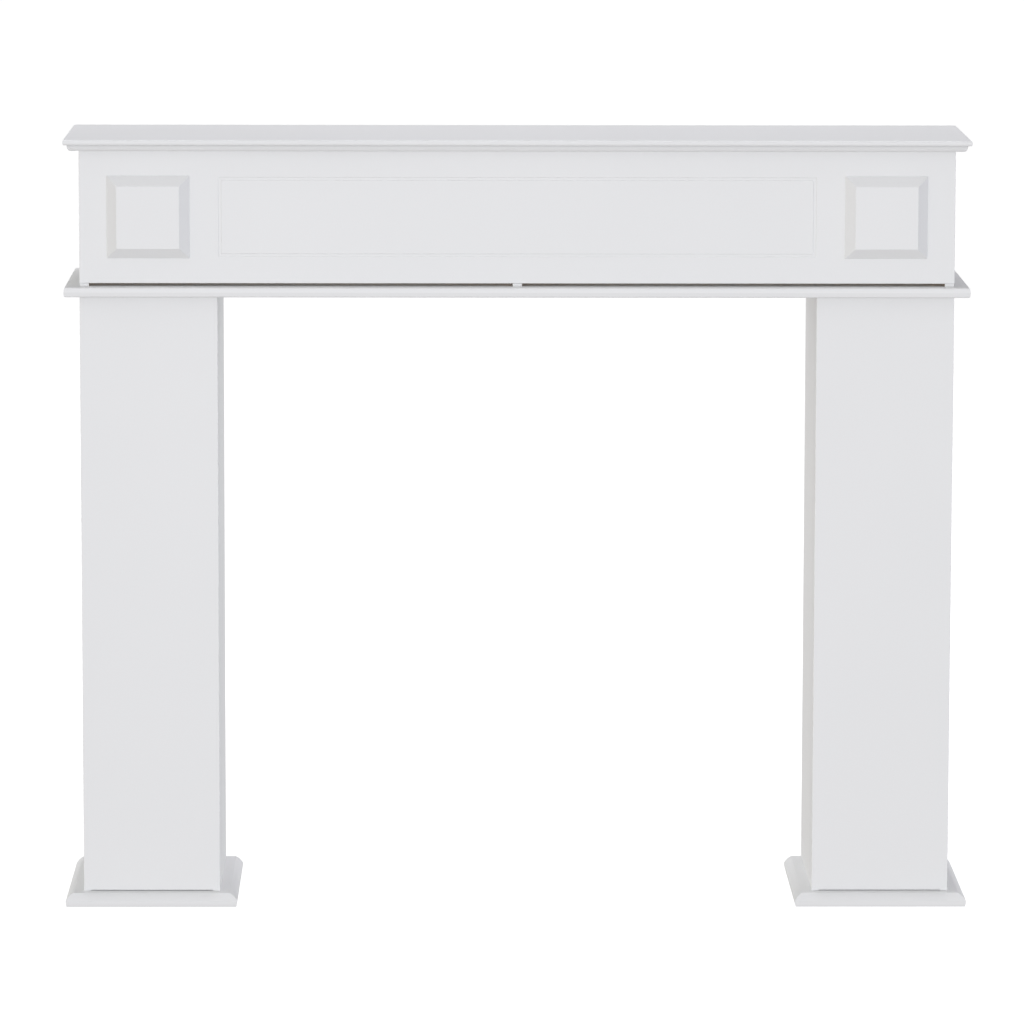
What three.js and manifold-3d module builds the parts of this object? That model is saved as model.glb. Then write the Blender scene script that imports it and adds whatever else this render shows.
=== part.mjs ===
// Decorative fireplace mantel: two hollow legs on moulded plinths carry a shelf,
// a shallow frieze box with two square plaques, and a moulded top shelf.
// Millimetres, +Z up, front towards -Y, origin under the middle of the footprint.
import * as THREE from 'three';
import { mergeVertices } from 'three/addons/utils/BufferGeometryUtils.js';
import Module from 'manifold-3d';

const wasm = await Module();
wasm.setup();

// Boards
const BOARD = 12;
const PLINTH_THICKNESS = 16;
const LOWER_SHELF_THICKNESS = 12;
const TOP_SHELF_THICKNESS = 14;

// Overall arrangement
const FRONT_WIDTH = 1060;
const LEG_WIDTH = 167;
const BODY_DEPTH = 221;
const LEG_HEIGHT = 733.5;
const FRIEZE_HEIGHT = 164.5;
const PLINTH_OVERHANG = 21.5;
const SHELF_OVERHANG = 18.5;

// Narrow gaps under the front panels
const LEG_FRONT_GAP = 0.8;
const FASCIA_GAP = 3.5;

// Square plaques on the frieze, centred over the legs
const PLAQUE_SIZE = 100;
const PLAQUE_FIELD = 75;
const PLAQUE_EDGE = 1;
const PLAQUE_RISE = 11;

// Rectangle routed into the fascia between the plaques
const GROOVE_LENGTH = 724;
const GROOVE_HEIGHT = 97;
const GROOVE_WIDTH = 4.4;
const GROOVE_FLOOR = 2.8;
const GROOVE_DEPTH = 0.6;
const CUT_CLEARANCE = 1;

// Edge mouldings: height above the board's underside, and how far the edge
// stays back from the overhang's furthest line
const PLINTH_EDGE = [
  { height: 0, back: 1 },
  { height: 4, back: 0.25 },
  { height: 7.5, back: 0 },
  { height: 11, back: 1.75 },
  { height: 13.5, back: 4.75 },
  { height: PLINTH_THICKNESS, back: 9.25 },
];
const LOWER_SHELF_EDGE = [
  { height: 0, back: 1.5 },
  { height: 1.5, back: 0.25 },
  { height: 4.5, back: 0 },
  { height: 9.5, back: 0.75 },
  { height: 11.25, back: 1.5 },
  { height: LOWER_SHELF_THICKNESS, back: 2.75 },
];
const TOP_SHELF_EDGE = [
  { height: 0, back: 9.5 },
  { height: 2, back: 7.5 },
  { height: 4.25, back: 6 },
  { height: 6.75, back: 5.25 },
  { height: 7.25, back: 2 },
  { height: 8.25, back: 0.75 },
  { height: 10.25, back: 0 },
  { height: 12.5, back: 0.75 },
  { height: 13.5, back: 1.75 },
  { height: TOP_SHELF_THICKNESS, back: 3.25 },
];

// Levels that follow from the sizes above
const HALF_WIDTH = FRONT_WIDTH / 2;
const FRONT_Y = -(BODY_DEPTH - PLINTH_OVERHANG) / 2;
const BACK_Y = FRONT_Y + BODY_DEPTH;
const CARCASS_Y = FRONT_Y + BOARD;
const LOWER_SHELF_Z = PLINTH_THICKNESS + LEG_HEIGHT;
const FRIEZE_Z = LOWER_SHELF_Z + LOWER_SHELF_THICKNESS;
const TOP_SHELF_Z = FRIEZE_Z + FRIEZE_HEIGHT;
const LEG_INNER_X = HALF_WIDTH - LEG_WIDTH;
const LEG_CENTRE_X = HALF_WIDTH - LEG_WIDTH / 2;
const ORNAMENT_Z = (FRIEZE_Z + FASCIA_GAP + TOP_SHELF_Z) / 2;

const PAINT_COLOUR = 0xf0f0ee;
const PAINT_ROUGHNESS = 0.55;

const part = new THREE.Group();
part.name = 'fireplace_mantel';

function addPiece(name, geometry) {
  const paint = new THREE.MeshStandardMaterial({ color: PAINT_COLOUR, roughness: PAINT_ROUGHNESS });
  const mesh = new THREE.Mesh(geometry, paint);
  mesh.name = name;
  part.add(mesh);
}

// A plain board between two corners
function board(from, to) {
  const size = to.map((value, axis) => value - from[axis]);
  const middle = to.map((value, axis) => (value + from[axis]) / 2);
  return new THREE.BoxGeometry(...size).translate(...middle);
}

// A solid whose rectangular outline changes from level to level
function layered(levels) {
  const geometry = new THREE.BoxGeometry(1, 1, 1, 1, 1, levels.length - 1);
  const points = geometry.attributes.position;
  for (let index = 0; index < points.count; index += 1) {
    const level = levels[Math.round((points.getZ(index) + 0.5) * (levels.length - 1))];
    const x = points.getX(index) < 0 ? level.left : level.right;
    const y = points.getY(index) < 0 ? level.front : level.back;
    points.setXYZ(index, x, y, level.height);
  }
  geometry.computeVertexNormals();
  return geometry;
}

// A board with its edge moulding along the front and both ends, cut flat at the back
function mouldedBoard(left, right, underside, overhang, edge) {
  return layered(edge.map((step) => ({
    height: underside + step.height,
    left: left - overhang + step.back,
    right: right + overhang - step.back,
    front: FRONT_Y - overhang + step.back,
    back: BACK_Y,
  })));
}

// A block standing out from the fascia, its four sides stepping in level by level
function frontBlock(centreX, length, height, steps) {
  const levels = steps.map((step) => ({
    height: step.out,
    left: -length / 2 + step.inset,
    right: length / 2 - step.inset,
    front: -height / 2 + step.inset,
    back: height / 2 - step.inset,
  }));
  return layered(levels).rotateX(Math.PI / 2).translate(centreX, FRONT_Y, ORNAMENT_Z);
}

function toManifold(geometry) {
  const shape = geometry.clone();
  shape.deleteAttribute('normal');
  shape.deleteAttribute('uv');
  const merged = mergeVertices(shape);
  return new wasm.Manifold(new wasm.Mesh({
    numProp: 3,
    vertProperties: new Float32Array(merged.attributes.position.array),
    triVerts: new Uint32Array(merged.index.array),
  }));
}

function toGeometry(solid) {
  const mesh = solid.getMesh();
  const geometry = new THREE.BufferGeometry();
  geometry.setAttribute('position', new THREE.BufferAttribute(new Float32Array(mesh.vertProperties), 3));
  geometry.setIndex(new THREE.BufferAttribute(new Uint32Array(mesh.triVerts), 1));
  geometry.computeVertexNormals();
  return geometry;
}

// The fascia with its routed rectangle: a tapered pocket cut in, less the island left standing
function fasciaWithGroove() {
  const slope = (GROOVE_WIDTH - GROOVE_FLOOR) / 2 / GROOVE_DEPTH;
  const panel = board(
    [-HALF_WIDTH, FRONT_Y, FRIEZE_Z + FASCIA_GAP],
    [HALF_WIDTH, CARCASS_Y, TOP_SHELF_Z],
  );
  const pocket = frontBlock(0, GROOVE_LENGTH, GROOVE_HEIGHT, [
    { out: -GROOVE_DEPTH, inset: GROOVE_DEPTH * slope },
    { out: CUT_CLEARANCE, inset: -CUT_CLEARANCE * slope },
  ]);
  const island = frontBlock(0, GROOVE_LENGTH, GROOVE_HEIGHT, [
    { out: -GROOVE_DEPTH - CUT_CLEARANCE, inset: GROOVE_WIDTH - (GROOVE_DEPTH + CUT_CLEARANCE) * slope },
    { out: 2 * CUT_CLEARANCE, inset: GROOVE_WIDTH + 2 * CUT_CLEARANCE * slope },
  ]);
  const groove = toManifold(pocket).subtract(toManifold(island));
  return toGeometry(toManifold(panel).subtract(groove));
}

// Legs: a front panel over the edges of two side panels, on a moulded plinth
for (const side of ['left', 'right']) {
  const left = side === 'left' ? -HALF_WIDTH : LEG_INNER_X;
  const right = left + LEG_WIDTH;
  const leftSide = side === 'left' ? 'outer' : 'inner';
  const rightSide = side === 'left' ? 'inner' : 'outer';
  addPiece(`plinth_${side}`, mouldedBoard(left, right, 0, PLINTH_OVERHANG, PLINTH_EDGE));
  addPiece(`leg_${side}_front`, board(
    [left, FRONT_Y, PLINTH_THICKNESS + LEG_FRONT_GAP],
    [right, CARCASS_Y, LOWER_SHELF_Z],
  ));
  addPiece(`leg_${side}_${leftSide}_panel`, board(
    [left, CARCASS_Y, PLINTH_THICKNESS],
    [left + BOARD, BACK_Y, LOWER_SHELF_Z],
  ));
  addPiece(`leg_${side}_${rightSide}_panel`, board(
    [right - BOARD, CARCASS_Y, PLINTH_THICKNESS],
    [right, BACK_Y, LOWER_SHELF_Z],
  ));
}

// Lower shelf across both legs
addPiece('lower_shelf', mouldedBoard(
  -HALF_WIDTH, HALF_WIDTH, LOWER_SHELF_Z, SHELF_OVERHANG, LOWER_SHELF_EDGE,
));

// Frieze box: two ends, a middle divider and the fascia over their front edges
addPiece('frieze_end_left', board(
  [-HALF_WIDTH, CARCASS_Y, FRIEZE_Z],
  [-HALF_WIDTH + BOARD, BACK_Y, TOP_SHELF_Z],
));
addPiece('frieze_end_right', board(
  [HALF_WIDTH - BOARD, CARCASS_Y, FRIEZE_Z],
  [HALF_WIDTH, BACK_Y, TOP_SHELF_Z],
));
addPiece('frieze_divider', board(
  [-BOARD / 2, CARCASS_Y, FRIEZE_Z],
  [BOARD / 2, BACK_Y, TOP_SHELF_Z],
));
addPiece('fascia', fasciaWithGroove());

// Square plaques with bevelled sides, one over each leg
const PLAQUE_STEPS = [
  { out: 0, inset: 0 },
  { out: PLAQUE_EDGE, inset: 0 },
  { out: PLAQUE_RISE, inset: (PLAQUE_SIZE - PLAQUE_FIELD) / 2 },
];
addPiece('plaque_left', frontBlock(-LEG_CENTRE_X, PLAQUE_SIZE, PLAQUE_SIZE, PLAQUE_STEPS));
addPiece('plaque_right', frontBlock(LEG_CENTRE_X, PLAQUE_SIZE, PLAQUE_SIZE, PLAQUE_STEPS));

// Top shelf
addPiece('top_shelf', mouldedBoard(
  -HALF_WIDTH, HALF_WIDTH, TOP_SHELF_Z, SHELF_OVERHANG, TOP_SHELF_EDGE,
));

export default part;
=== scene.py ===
"""A white painted board mantel for a fireplace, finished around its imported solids."""

import math

import bmesh
import bpy
from mathutils import Matrix, Vector


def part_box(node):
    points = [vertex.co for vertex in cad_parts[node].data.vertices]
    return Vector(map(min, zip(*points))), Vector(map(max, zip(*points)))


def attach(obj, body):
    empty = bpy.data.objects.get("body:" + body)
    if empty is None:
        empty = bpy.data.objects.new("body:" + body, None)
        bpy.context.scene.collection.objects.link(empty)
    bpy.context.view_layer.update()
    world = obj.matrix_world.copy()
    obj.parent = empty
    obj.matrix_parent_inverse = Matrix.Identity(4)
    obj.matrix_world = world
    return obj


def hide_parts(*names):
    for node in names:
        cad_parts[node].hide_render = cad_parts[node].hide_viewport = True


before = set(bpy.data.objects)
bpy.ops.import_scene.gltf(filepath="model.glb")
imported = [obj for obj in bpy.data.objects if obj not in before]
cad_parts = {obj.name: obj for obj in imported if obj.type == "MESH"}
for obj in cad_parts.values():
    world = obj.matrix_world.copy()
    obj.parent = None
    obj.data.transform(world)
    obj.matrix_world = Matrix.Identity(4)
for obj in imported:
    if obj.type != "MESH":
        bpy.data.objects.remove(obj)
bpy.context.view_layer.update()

MM = 0.001
QUARTER_TURN = math.pi / 2
HALF_TURN = math.pi

# Directions, with the mantel's front towards the room
FRONT = Vector((0, -1, 0))
BACK = Vector((0, 1, 0))
LEFT = Vector((-1, 0, 0))
RIGHT = Vector((1, 0, 0))
UP = Vector((0, 0, 1))

# A face looks along a direction where the cosine between them is above this
FACING_COSINE = 0.7

# Softened edges of the painted boards, and the steps in each round
PANEL_ROUND = 0.7 * MM
JOINT_ROUND = 0.45 * MM
ROUND_STEPS = 4
JOINT_STEPS = 2
FINE_STEPS = 3

# Faces narrower than this belong to a round and are shaded smooth
FLAT_WIDTH = 4.5 * MM
CREASE_ANGLE = math.radians(32)

# Foot of a leg front: a rounded edge over a slit, between two heels
FOOT_ROUND = 2.2 * MM
FOOT_GAP = 0.4 * MM
HEEL_LENGTH = 10 * MM

# Toes of the frieze boards, coming forward in the slit under the fascia
TOE_SETBACK = 0.8 * MM
TOE_GAP = 0.2 * MM

# Plinth edge: a bulged chamfer over a nearly upright face
PLINTH_NOSE = 7.5 * MM
PLINTH_SETBACK = 9.25 * MM
PLINTH_BULGE = 1.0 * MM
PLINTH_UNDERCUT = 1.0 * MM

# Lower shelf edge: two small rounds and a faint bulge between them
LOWER_ROUND = 2.2 * MM
LOWER_BULGE = 0.5 * MM

# Top shelf edge: a rounded nose over a stepped-in ovolo
TOP_STEP = 7.3 * MM
TOP_NOSE_SETBACK = 3.0 * MM
TOP_NOSE_FLATNESS = 0.5
TOP_STEP_BACK = 5.0 * MM
TOP_OVOLO_BACK = 9.5 * MM
CURVE_STEPS = 8

# Rectangle routed into the fascia
GROOVE_LENGTH = 724 * MM
GROOVE_HEIGHT = 97 * MM
GROOVE_WIDTH = 4.4 * MM
GROOVE_FLOOR = 2.8 * MM
GROOVE_DEPTH = 0.6 * MM
GROOVE_ROUND = 0.15 * MM

# Square plaques
PLAQUE_FIELD = 75 * MM
PLAQUE_EDGE = 1.0 * MM
PLAQUE_ROUND = 0.3 * MM

# Satin paint: tones, and the drift, orange peel and ripple that vary it
PAINT_TONES = ((0.770, 0.772, 0.770), (0.820, 0.820, 0.816))
PAINT_GLOSS = 0.45
PAINT_ROUGHNESS = 0.40
PAINT_RELIEF = 0.06 * MM
PAINT_RELIEF_STRENGTH = 0.35
DRIFT_SCALE = 5.0
DRIFT_SHARE = 0.5
PEEL_SCALE = 520.0
PEEL_GRIT = 0.55
PEEL_SHARE = 0.5
PEEL_HEIGHT = 0.7
PEEL_ROUGHNESS = 0.14
RIPPLE_SCALE = 70.0
RIPPLE_HEIGHT = 0.6

# Bare fibreboard: tones, and the fibres, flecks and clouds that vary it
BARE_INDEX = 1
BARE_TONES = ((0.30, 0.205, 0.125), (0.50, 0.375, 0.255))
BARE_GLOSS = 0.25
BARE_ROUGHNESS = 0.78
BARE_DETAIL = 3.0
FIBRE_SCALE = 900.0
FIBRE_GRIT = 0.65
FIBRE_SHARE = 0.4
FIBRE_RELIEF = 0.08 * MM
FIBRE_RELIEF_STRENGTH = 0.5
FLECK_SCALE = 260.0
FLECK_GRIT = 0.6
FLECK_SHARE = 0.35
CLOUD_SCALE = 9.0
CLOUD_SHARE = 0.25
CLOUD_ROUGHNESS = 0.15

# Sockets of a Mix node that blends colours
MIX_FACTOR = 0
MIX_FIRST = 6
MIX_SECOND = 7
MIX_RESULT = 2

# Camera, fitted to the photograph's edges; the image is 1024 pixels square
IMAGE = 1024
SENSOR = 36.0
FOCAL_PIXELS = 6207.8
CAMERA_PLACE = Vector((-0.1009, -7.5822, 1.5386))
CAMERA_YAW = 0.0127
CAMERA_PITCH = 0.1398
CAMERA_ROLL = 0.0021
CAMERA_REACH = 200.0

# Floor
FLOOR_SIZE = 120.0
FLOOR_COLOUR = 0.36
FLOOR_ROUGHNESS = 0.9
FLOOR_GLOSS = 0.1
FLOOR_GLOW = 0.90

# Room: left and right tones in front, low and high tones behind, and the span of each change
ROOM_ABOVE = ((0.788, 0.799, 0.764), (0.604, 0.585, 0.638))
ROOM_BELOW = ((0.565, 0.505, 0.469), (0.490, 0.518, 0.552))
ROOM_BEHIND = ((0.58, 0.58, 0.58), (0.03, 0.03, 0.03))
ROOM_SPAN = {"X": 0.5, "Y": 0.25, "Z": 0.15}
WHITE = (1.0, 1.0, 1.0)

# Softboxes: place in metres, power in watts and colour
SOFTBOX_SIZE = 2.6
SOFTBOX_AIM = Vector((0.0, 0.0, 0.5))
SOFTBOXES = {
    "camera_side_softbox": ((-0.25, -8.4, 1.0), 244.0, (0.917, 0.948, 1.0)),
    "left_back_softbox": ((-3.2, 1.8, 0.75), 55.0, (1.0, 0.995, 0.997)),
    "right_back_softbox": ((3.2, 1.8, 0.75), 57.0, (0.957, 0.975, 1.0)),
    "overhead_softbox": ((0.0, 1.6, 4.0), 95.0, (0.952, 0.954, 1.0)),
}


class Wire:
    """A socket that takes part in arithmetic: each operator adds a Math node."""

    def __init__(self, finish, socket):
        self.finish = finish
        self.socket = socket

    def maths(self, operation, first, second):
        return self.finish.node("ShaderNodeMath", {"operation": operation}, {0: first, 1: second})

    def __add__(self, other):
        return self.maths("ADD", self, other)

    def __radd__(self, other):
        return self.maths("ADD", other, self)

    def __mul__(self, other):
        return self.maths("MULTIPLY", self, other)

    def __rmul__(self, other):
        return self.maths("MULTIPLY", other, self)


class Finish:
    """A material or a room's light under construction. One method makes any node."""

    def __init__(self, owner):
        self.owner = owner
        owner.use_nodes = True
        self.tree = owner.node_tree
        self.tree.nodes.clear()

    def node(self, kind, settings=None, sockets=None, output=0):
        made = self.tree.nodes.new(kind)
        for key, value in (settings or {}).items():
            setattr(made, key, value)
        for key, value in (sockets or {}).items():
            if isinstance(value, Wire):
                self.tree.links.new(value.socket, made.inputs[key])
            else:
                made.inputs[key].default_value = value
        return Wire(self, made.outputs[output]) if made.outputs else None

    def place(self):
        """Object coordinates, in metres."""
        return self.node("ShaderNodeTexCoord", output="Object")

    def noise(self, place, scale, detail=2.0, grit=0.5):
        sockets = {"Vector": place, "Scale": scale, "Detail": detail, "Roughness": grit}
        return self.node("ShaderNodeTexNoise", sockets=sockets)

    def relief(self, height, distance, strength):
        sockets = {"Strength": strength, "Distance": distance, "Height": height}
        return self.node("ShaderNodeBump", sockets=sockets)

    def blend(self, factor, first, second):
        """Runs from the first colour to the second."""
        ends = [c if isinstance(c, Wire) else (*c, 1.0) for c in (first, second)]
        sockets = {MIX_FACTOR: factor, MIX_FIRST: ends[0], MIX_SECOND: ends[1]}
        return self.node("ShaderNodeMix", {"data_type": "RGBA"}, sockets, MIX_RESULT)

    def shade(self, sockets):
        surface = self.node("ShaderNodeBsdfPrincipled", sockets=sockets)
        self.node("ShaderNodeOutputMaterial", sockets={"Surface": surface})
        return self.owner


def satin_paint():
    """Sprayed satin white: fine orange peel, a slow ripple and a faint drift of tone."""
    paint = Finish(bpy.data.materials.new("satin_white_paint"))
    place = paint.place()
    drift = paint.noise(place, DRIFT_SCALE)
    peel = paint.noise(place, PEEL_SCALE, grit=PEEL_GRIT)
    ripple = paint.noise(place, RIPPLE_SCALE)
    tone = drift * DRIFT_SHARE + peel * PEEL_SHARE
    height = peel * PEEL_HEIGHT + ripple * RIPPLE_HEIGHT
    return paint.shade({
        "Base Color": paint.blend(tone, *PAINT_TONES),
        "Roughness": PAINT_ROUGHNESS + PEEL_ROUGHNESS * peel,
        "Normal": paint.relief(height, PAINT_RELIEF, PAINT_RELIEF_STRENGTH),
        "Specular IOR Level": PAINT_GLOSS,
    })


def bare_board():
    """Unpainted fibreboard, for edges at the wall and for faces inside the hollows."""
    board = Finish(bpy.data.materials.new("bare_fibreboard"))
    place = board.place()
    fibre = board.noise(place, FIBRE_SCALE, BARE_DETAIL, FIBRE_GRIT)
    fleck = board.noise(place, FLECK_SCALE, grit=FLECK_GRIT)
    cloud = board.noise(place, CLOUD_SCALE, BARE_DETAIL)
    tone = fibre * FIBRE_SHARE + fleck * FLECK_SHARE + cloud * CLOUD_SHARE
    return board.shade({
        "Base Color": board.blend(tone, *BARE_TONES),
        "Roughness": BARE_ROUGHNESS + CLOUD_ROUGHNESS * cloud,
        "Normal": board.relief(fibre, FIBRE_RELIEF, FIBRE_RELIEF_STRENGTH),
        "Specular IOR Level": BARE_GLOSS,
    })


PAINT = satin_paint()
BARE = bare_board()


def facing(face, direction):
    """True where a face looks along a direction."""
    return face.normal.dot(direction) > FACING_COSINE


def at_back(face):
    """True where a face looks at the wall behind the mantel."""
    return facing(face, BACK)


def largest(faces):
    return max(faces, key=lambda face: face.calc_area())


def front_face(shape):
    """The largest face that looks out into the room."""
    return largest(f for f in shape.faces if facing(f, FRONT))


def front_edges(shape):
    """The edges round the face that looks out into the room."""
    front = min(vert.co.y for vert in shape.verts)
    return [e for e in shape.edges if all(abs(v.co.y - front) < JOINT_ROUND for v in e.verts)]


def finish_piece(node, shape, hidden):
    """Turns a bmesh into the painted piece that stands for a CAD node. Hidden faces stay bare."""
    bmesh.ops.recalc_face_normals(shape, faces=shape.faces)
    rounded = []
    for face in shape.faces:
        width = face.calc_area() / max(edge.calc_length() for edge in face.edges)
        rounded.append(width < FLAT_WIDTH)
        if hidden(face):
            face.material_index = BARE_INDEX
    name = f"painted_{node}"
    mesh = bpy.data.meshes.new(name)
    shape.to_mesh(mesh)
    shape.free()
    mesh.set_sharp_from_angle(angle=CREASE_ANGLE)
    mesh.polygons.foreach_set("use_smooth", rounded)
    mesh.materials.append(PAINT)
    mesh.materials.append(BARE)
    piece = bpy.data.objects.new(name, mesh)
    bpy.context.scene.collection.objects.link(piece)
    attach(piece, "root")
    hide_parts(node)


def block(low, high):
    """A bmesh box between two corners."""
    shape = bmesh.new()
    bmesh.ops.create_cube(shape, size=1.0)
    bmesh.ops.scale(shape, vec=high - low, verts=shape.verts)
    bmesh.ops.translate(shape, vec=(low + high) / 2, verts=shape.verts)
    return shape


def soften(shape, edges, radius, steps=ROUND_STEPS):
    """Rounds edges over."""
    bmesh.ops.bevel(
        shape,
        geom=edges,
        offset=radius,
        offset_type="OFFSET",
        affect="EDGES",
        segments=steps,
        profile=0.5,
        material=-1,
        clamp_overlap=True,
    )


def cut_across(shape, place, axis):
    """Adds a line of edges where a plane through a point crosses the shape."""
    everything = [*shape.verts, *shape.edges, *shape.faces]
    bmesh.ops.bisect_plane(shape, geom=everything, plane_co=place, plane_no=axis)
    shape.normal_update()


def leg_front(node, plinth):
    """A leg's front panel, with its upright edges just broken.

    Its foot is rounded between two heels, which alone come down to the plinth.
    """
    low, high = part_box(node)
    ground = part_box(plinth)[1].z
    low.z = ground + FOOT_GAP
    middle = (low + high) / 2
    shape = block(low, high)
    for heel in (low.x + HEEL_LENGTH, high.x - HEEL_LENGTH):
        cut_across(shape, (heel, 0, 0), RIGHT)
    half_foot = high.x - HEEL_LENGTH - middle.x
    corners = [v for v in shape.verts if abs(v.co.x - middle.x) > half_foot + JOINT_ROUND]
    for vert in corners:
        if vert.co.z < middle.z:
            vert.co.z = ground
    front = front_edges(shape)
    foot = [e for e in front if all(v not in corners and v.co.z < middle.z for v in e.verts)]
    upright = [e for e in front if all(v in corners for v in e.verts)]
    soften(shape, foot, FOOT_ROUND)
    soften(shape, upright, PANEL_ROUND)
    finish_piece(node, shape, at_back)


def grow_toe(shape, depth, height):
    """Brings the foot of an upright board forward to a depth, up to a height."""
    cut_across(shape, (0, 0, height), UP)
    ahead = [f for f in shape.faces if facing(f, FRONT)]
    foot = largest(f for f in ahead if f.calc_center_median().z < height)
    toe = bmesh.ops.extrude_discrete_faces(shape, faces=[foot])["faces"][0]
    for vert in toe.verts:
        vert.co.y = depth


def side_board(node, inward, toe=None):
    """An upright board behind a front panel. Its inward faces and back edge are left bare.

    A toe is the depth and height of a foot that comes forward under the panel.
    """
    shape = block(*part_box(node))
    upright = [e for e in shape.edges if abs(e.verts[0].co.z - e.verts[1].co.z) > JOINT_ROUND]
    soften(shape, upright, JOINT_ROUND, JOINT_STEPS)
    if toe is not None:
        grow_toe(shape, *toe)
    bare_sides = [BACK, *inward]
    finish_piece(node, shape, lambda face: any(facing(face, side) for side in bare_sides))


def angles(sweep, steps):
    """Angles from zero through a sweep, in equal steps."""
    return [sweep * number / steps for number in range(steps + 1)]


def plinth_edge(thickness):
    """Height and setback, from the underside up: a face that leans in, then a bulged chamfer."""
    steps = [(PLINTH_NOSE * share, PLINTH_UNDERCUT * (1 - share) ** 2) for share in (0.0, 0.5)]
    chord = Vector((PLINTH_SETBACK, thickness - PLINTH_NOSE))
    outward = Vector((-chord.y, chord.x)).normalized()
    for number in range(CURVE_STEPS + 1):
        share = number / CURVE_STEPS
        bulge = PLINTH_BULGE * 4 * share * (1 - share)
        point = chord * share + outward * bulge
        steps.append((PLINTH_NOSE + point.y, max(point.x, 0.0)))
    return steps


def lower_shelf_edge(thickness):
    """Height and setback, from the underside up: two small rounds with a faint bulge between."""
    steps = []
    for turn in angles(QUARTER_TURN, CURVE_STEPS):
        height = LOWER_ROUND * (1 - math.cos(turn))
        steps.append((height, LOWER_BULGE + LOWER_ROUND * (1 - math.sin(turn))))
    steps.append((thickness / 2, 0.0))
    for turn in angles(QUARTER_TURN, CURVE_STEPS):
        height = thickness - LOWER_ROUND * (1 - math.sin(turn))
        steps.append((height, LOWER_BULGE + LOWER_ROUND * (1 - math.cos(turn))))
    return steps


def top_shelf_edge(thickness):
    """Height and setback, from the underside up: an ovolo, a step out and a rounded nose."""
    steps = []
    for turn in angles(QUARTER_TURN, CURVE_STEPS):
        back = TOP_OVOLO_BACK - (TOP_OVOLO_BACK - TOP_STEP_BACK) * math.sin(turn)
        steps.append((TOP_STEP * (1 - math.cos(turn)), back))
    half = (thickness - TOP_STEP) / 2
    for turn in angles(HALF_TURN, 2 * CURVE_STEPS):
        bulge = max(math.sin(turn), 0.0) ** TOP_NOSE_FLATNESS
        steps.append((TOP_STEP + half * (1 - math.cos(turn)), TOP_NOSE_SETBACK * (1 - bulge)))
    return steps


def bare_patch(shape, level, left, right):
    """Marks off part of the largest face near a level: what lies between two upright boards."""
    (low, high), (end_low, end_high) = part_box(left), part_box(right)
    middle = (low + end_high) / 2
    close = JOINT_ROUND / 2
    face = largest(f for f in shape.faces if all(abs(v.co.z - level) < close for v in f.verts))
    bmesh.ops.inset_individual(shape, faces=[face], thickness=JOINT_ROUND)
    for vert in face.verts:
        vert.co.x = high.x if vert.co.x < middle.x else end_low.x
        vert.co.y = low.y if vert.co.y < middle.y else high.y - JOINT_ROUND
    return face


def moulded_board(node, edge, level, uprights):
    """A board with its moulding along the front and both ends, cut flat at the back.

    Each extrusion leaves its old cap inside the board. A face near a level gets a bare patch
    between two uprights: the floor of the hollow on a plinth, and an inner cap on a shelf,
    which so shows paint on both sides.
    """
    low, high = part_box(node)
    middle = (low + high) / 2
    steps = edge(high.z - low.z)
    shape = block(low, high)
    ring = [v for v in shape.verts if v.co.z > middle.z]
    base = [v for v in shape.verts if v.co.z < middle.z]

    def place(corners, height, back):
        for corner in corners:
            corner.co.x = low.x + back if corner.co.x < middle.x else high.x - back
            corner.co.y = low.y + back if corner.co.y < middle.y else high.y
            corner.co.z = low.z + height

    place(base, *steps[0])
    place(ring, *steps[1])
    for height, back in steps[2:]:
        cap = next(f for f in shape.faces if all(v in ring for v in f.verts))
        grown = bmesh.ops.extrude_face_region(shape, geom=[cap])["geom"]
        ring = [g for g in grown if isinstance(g, bmesh.types.BMVert)]
        place(ring, height, back)
    inside = bare_patch(shape, level, *uprights)
    finish_piece(node, shape, lambda face: face == inside or at_back(face))


def inset_front(shape, face, half_length, half_height, centre, depth):
    """Insets a face, then sets its corners at half sizes about a centre, at a depth."""
    bmesh.ops.inset_individual(shape, faces=[face], thickness=JOINT_ROUND)
    for vert in face.verts:
        vert.co.x = centre.x + math.copysign(half_length, vert.co.x - centre.x)
        vert.co.z = centre.z + math.copysign(half_height, vert.co.z - centre.z)
        vert.co.y = depth


def grooved_fascia(node):
    """The frieze's front panel with its routed rectangle."""
    low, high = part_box(node)
    centre = (low + high) / 2
    shape = block(low, high)
    soften(shape, front_edges(shape), PANEL_ROUND)
    face = front_face(shape)
    slope = (GROOVE_WIDTH - GROOVE_FLOOR) / 2
    rims = []
    for inset, depth in (
        (0.0, 0.0),
        (slope, GROOVE_DEPTH),
        (GROOVE_WIDTH - slope, GROOVE_DEPTH),
        (GROOVE_WIDTH, 0.0),
    ):
        half = (GROOVE_LENGTH / 2 - inset, GROOVE_HEIGHT / 2 - inset)
        inset_front(shape, face, *half, centre, low.y + depth)
        if depth == 0.0:
            rims.extend(face.edges)
    soften(shape, rims, GROOVE_ROUND, FINE_STEPS)
    finish_piece(node, shape, at_back)


def plaque(node):
    """A square plaque with a thin edge, four mitred bevels and a raised field."""
    low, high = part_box(node)
    centre = (low + high) / 2
    shape = block(low, high)
    face = front_face(shape)
    for vert in face.verts:
        vert.co.y = high.y - PLAQUE_EDGE
    inset_front(shape, face, PLAQUE_FIELD / 2, PLAQUE_FIELD / 2, centre, low.y)
    soften(shape, list(face.edges), PLAQUE_ROUND, FINE_STEPS)
    finish_piece(node, shape, at_back)


def build_leg(side, inward):
    """A leg on its plinth, with its plaque above. Each side panel's hollow side is given."""
    plinth = f"plinth_{side}"
    panels = {f"leg_{side}_{place}_panel": direction for place, direction in inward.items()}
    moulded_board(plinth, plinth_edge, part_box(plinth)[1].z, panels)
    leg_front(f"leg_{side}_front", plinth)
    for node, direction in panels.items():
        side_board(node, [direction])
    plaque(f"plaque_{side}")


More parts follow.
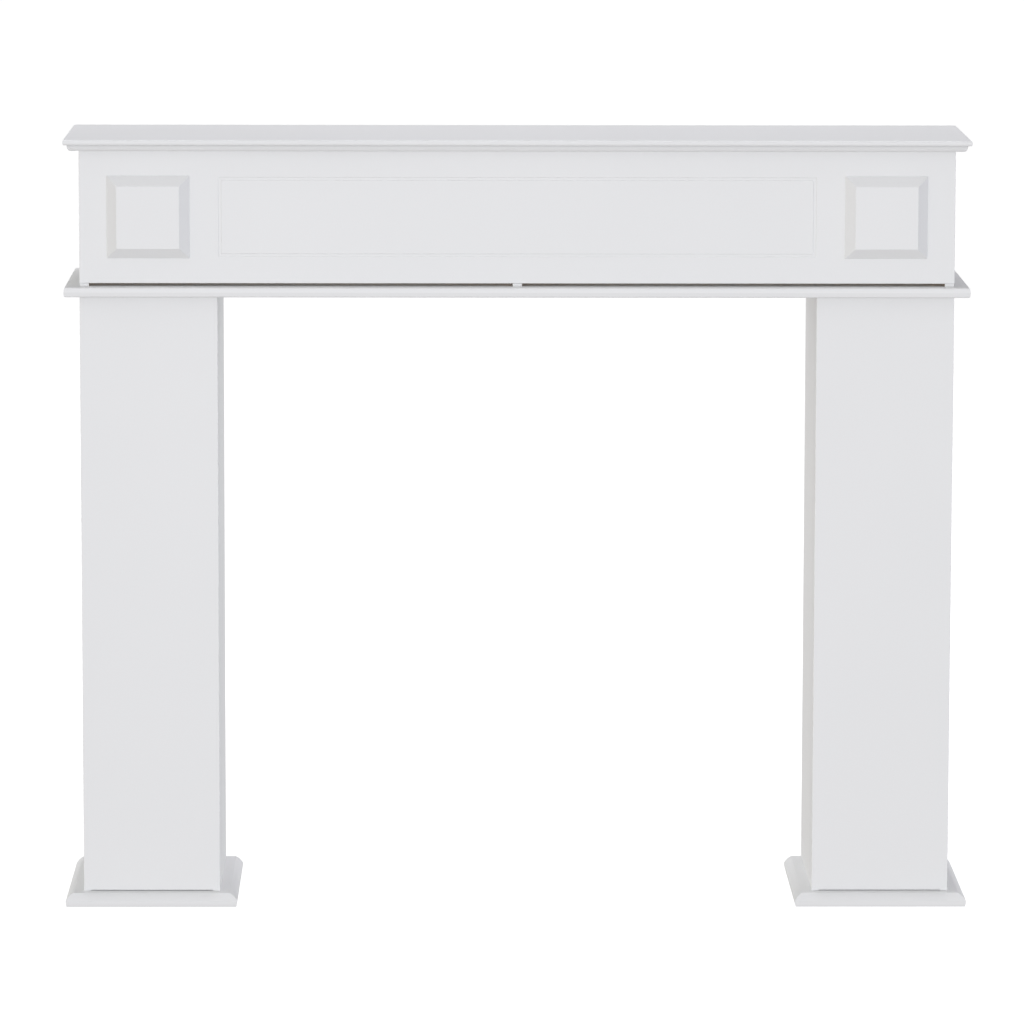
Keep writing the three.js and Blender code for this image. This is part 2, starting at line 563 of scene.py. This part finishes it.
def build_frieze():
    """The shallow box over the legs, between the lower shelf and the top shelf."""
    ends = ("frieze_end_left", "frieze_end_right")
    fascia_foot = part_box("fascia")[0]
    toe = (fascia_foot.y + TOE_SETBACK, fascia_foot.z - TOE_GAP)
    side_board("frieze_end_left", [RIGHT], toe)
    side_board("frieze_end_right", [LEFT], toe)
    side_board("frieze_divider", [RIGHT, LEFT], toe)
    moulded_board("lower_shelf", lower_shelf_edge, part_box("lower_shelf")[1].z, ends)
    grooved_fascia("fascia")
    moulded_board("top_shelf", top_shelf_edge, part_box("top_shelf")[0].z, ends)


def add_camera():
    """A long lens from about eye height, turned and rolled as the photograph is."""
    data = bpy.data.cameras.new("camera")
    data.sensor_width = SENSOR
    data.lens = FOCAL_PIXELS / IMAGE * SENSOR
    data.clip_end = CAMERA_REACH
    camera = bpy.data.objects.new("camera", data)
    camera.matrix_world = (
        Matrix.Translation(CAMERA_PLACE)
        @ Matrix.Rotation(-CAMERA_YAW, 4, "Z")
        @ Matrix.Rotation(QUARTER_TURN - CAMERA_PITCH, 4, "X")
        @ Matrix.Rotation(CAMERA_ROLL, 4, "Z")
    )
    bpy.context.scene.collection.objects.link(camera)
    bpy.context.scene.camera = camera


def add_floor():
    """A plain pale floor, far wider than the view. The room's own light stands for its bounce."""
    shape = bmesh.new()
    bmesh.ops.create_grid(shape, x_segments=1, y_segments=1, size=FLOOR_SIZE / 2)
    mesh = bpy.data.meshes.new("floor")
    shape.to_mesh(mesh)
    shape.free()
    pale = Finish(bpy.data.materials.new("pale_floor"))
    mesh.materials.append(pale.shade({
        "Base Color": (FLOOR_COLOUR, FLOOR_COLOUR, FLOOR_COLOUR, 1.0),
        "Roughness": FLOOR_ROUGHNESS,
        "Specular IOR Level": FLOOR_GLOSS,
        "Emission Color": (*WHITE, 1.0),
        "Emission Strength": FLOOR_GLOW,
    }))
    floor = bpy.data.objects.new("floor", mesh)
    floor.visible_diffuse = False
    floor.visible_glossy = False
    floor.visible_shadow = False
    bpy.context.scene.collection.objects.link(floor)


def add_room():
    """A soft room, toned left and right, above, below and behind. It is plain white where seen."""
    room = Finish(bpy.data.worlds.new("soft_room"))
    direction = room.node("ShaderNodeTexCoord", output="Generated")

    def swing(axis):
        along = room.node("ShaderNodeSeparateXYZ", sockets={"Vector": direction}, output=axis)
        span = ROOM_SPAN[axis]
        return room.node(
            "ShaderNodeMapRange",
            {"interpolation_type": "SMOOTHSTEP"},
            {"Value": along, "From Min": -span, "From Max": span},
        )

    across = swing("X")
    rise = swing("Z")
    below = room.blend(across, *ROOM_BELOW)
    above = room.blend(across, *ROOM_ABOVE)
    front = room.blend(rise, below, above)
    around = room.blend(swing("Y"), front, room.blend(rise, *ROOM_BEHIND))
    seen = room.node("ShaderNodeLightPath", output="Is Camera Ray")
    glow = room.node("ShaderNodeBackground", sockets={"Color": room.blend(seen, around, WHITE)})
    room.node("ShaderNodeOutputWorld", sockets={"Surface": glow})
    bpy.context.scene.world = room.owner


def add_softbox(name, place, power, colour):
    """A square softbox aimed at the middle of the mantel."""
    data = bpy.data.lights.new(name, "AREA")
    data.size = SOFTBOX_SIZE
    data.energy = power
    data.color = colour
    light = bpy.data.objects.new(name, data)
    light.location = place
    light.rotation_euler = (SOFTBOX_AIM - Vector(place)).to_track_quat("-Z", "Y").to_euler()
    bpy.context.scene.collection.objects.link(light)


def add_studio():
    """The floor, the room's light and the softboxes."""
    add_floor()
    add_room()
    for name, settings in SOFTBOXES.items():
        add_softbox(name, *settings)
    bpy.context.scene.view_settings.view_transform = "Standard"


build_leg("left", {"outer": RIGHT, "inner": LEFT})
build_leg("right", {"inner": RIGHT, "outer": LEFT})
build_frieze()
add_camera()
add_studio()
